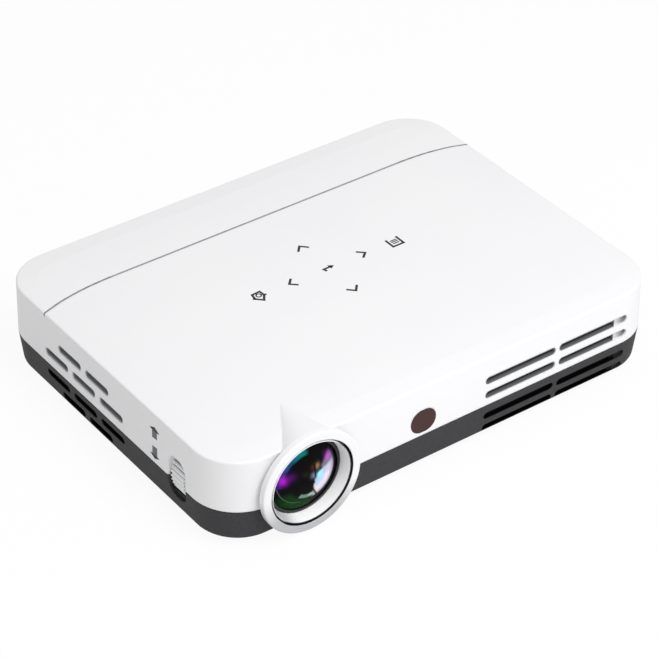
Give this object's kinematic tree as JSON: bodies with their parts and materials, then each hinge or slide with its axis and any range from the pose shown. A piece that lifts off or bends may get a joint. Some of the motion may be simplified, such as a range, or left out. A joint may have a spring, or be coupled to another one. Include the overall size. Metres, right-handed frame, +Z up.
{
  "type": "portable projector",
  "caption": "Flat portable projector: white cover on a dark vented base, lens with geared thumbwheel focus, light engine, fans, battery, boards and rear sockets.",
  "frame": {"origin": "centre of the bounding box in plan, on the surface that the feet stand on", "axes": "+X to the right as seen from the front, -Y is the front with the lens, +Z up"},
  "size_m": [0.215, 0.1662, 0.0457],
  "materials": {
    "white_shell": "fine satin moulded, bright white",
    "dark_shell": "fine textured, dark grey",
    "satin_silver": "satin silver",
    "bright_silver": "turned, bright",
    "insert_plastic": "moulded, dark grey",
    "lens_black": "black",
    "coated_glass": "coated, purple and green reflections",
    "clear_glass": "clear",
    "black_plastic": "moulded",
    "white_plastic": "moulded",
    "steel": "machined",
    "light_metal": "cast",
    "copper": "copper, drawn",
    "fins": "stamped",
    "board_green": "circuit board",
    "ceramic": "ceramic package",
    "battery_wrap": "shrink wrap",
    "ribbon": "flat cable",
    "ir_red": "polished dark red",
    "rubber_black": "moulded",
    "brass_insert": "turned"
  },
  "bodies": {
    "case": {"base_shell": "dark_shell", "top_cover": "white_shell", "lens_ring": "satin_silver", "lens_bezel": "bright_silver", "lens_carrier": "black_plastic", "wheel_axle": "steel", "engine_housing": "light_metal", "engine_lid": "light_metal", "prism": "clear_glass", "relay_lens": "clear_glass", "integrator_plate": "clear_glass", "dichroic_plates": "clear_glass", "collimator_lenses": "clear_glass", "led_modules": "copper", "imager_chip": "ceramic", "imager_board": "board_green", "imager_heat_sink": "fins", "upper_heat_pipe": "copper", "lower_heat_pipe": "copper", "fin_stack": "fins", "blower_housing": "black_plastic", "blower_cover": "black_plastic", "side_fan_frame": "black_plastic", "main_board": "board_green", "power_board": "board_green", "wireless_board": "board_green", "battery_pack": "battery_wrap", "speaker": "black_plastic", "touch_board": "board_green", "touch_ribbon": "ribbon", "ir_window": "ir_red", "ir_board": "board_green", "hdmi_socket": "steel", "usb_sockets": "steel", "audio_jack": "black_plastic", "card_socket": "steel", "dc_jack": "black_plastic", "button_switch": "black_plastic", "tripod_insert": "brass_insert", "rubber_feet": "rubber_black", "base_screws": "steel", "board_screws": "steel", "vent_inserts": "insert_plastic"},
    "focus_wheel": {"focus_wheel": "white_plastic"},
    "focus_ring": {"focus_ring": "white_plastic"},
    "lens_group": {"lens_cell": "lens_black", "front_lens": "coated_glass", "rear_lens": "clear_glass"},
    "blower_impeller": {"blower_impeller": "black_plastic"},
    "side_fan_rotor": {"side_fan_rotor": "black_plastic"},
    "power_button": {"power_button": "white_plastic"}
  },
  "joints": [
    {"name": "focus_wheel_spin", "type": "hinge", "parent": "case", "child": "focus_wheel", "pos_m": [-0.09385, -0.0474, 0.0189], "axis": [0, 1, 0], "range_deg": [-49, 49]},
    {"name": "focus_ring_turn", "type": "hinge", "parent": "case", "child": "focus_ring", "pos_m": [-0.06983, -0.0474, 0.0233], "axis": [0, 1, 0], "range_deg": [-52.8, 52.8]},
    {"name": "lens_focus", "type": "slide", "parent": "case", "child": "lens_group", "axis": [0, -1, 0], "range_m": [-0.00117, 0.00117]},
    {"name": "blower_spin", "type": "hinge", "parent": "case", "child": "blower_impeller", "pos_m": [0.0598, -0.0239, 0.013], "axis": [0, 0, 1], "continuous": true},
    {"name": "side_fan_spin", "type": "hinge", "parent": "case", "child": "side_fan_rotor", "pos_m": [-0.0999, 0.0181, 0.0212], "axis": [1, 0, 0], "continuous": true},
    {"name": "power_press", "type": "slide", "parent": "case", "child": "power_button", "axis": [0, -1, 0], "range_m": [0, 0.0008], "stiffness_N_per_m": 500}
  ],
  "couplings": [
    {"joint": "focus_wheel_spin", "follows": "lens_focus", "rad_per_m": 729.3},
    {"joint": "focus_ring_turn", "follows": "lens_focus", "rad_per_m": -785.4}
  ]
}
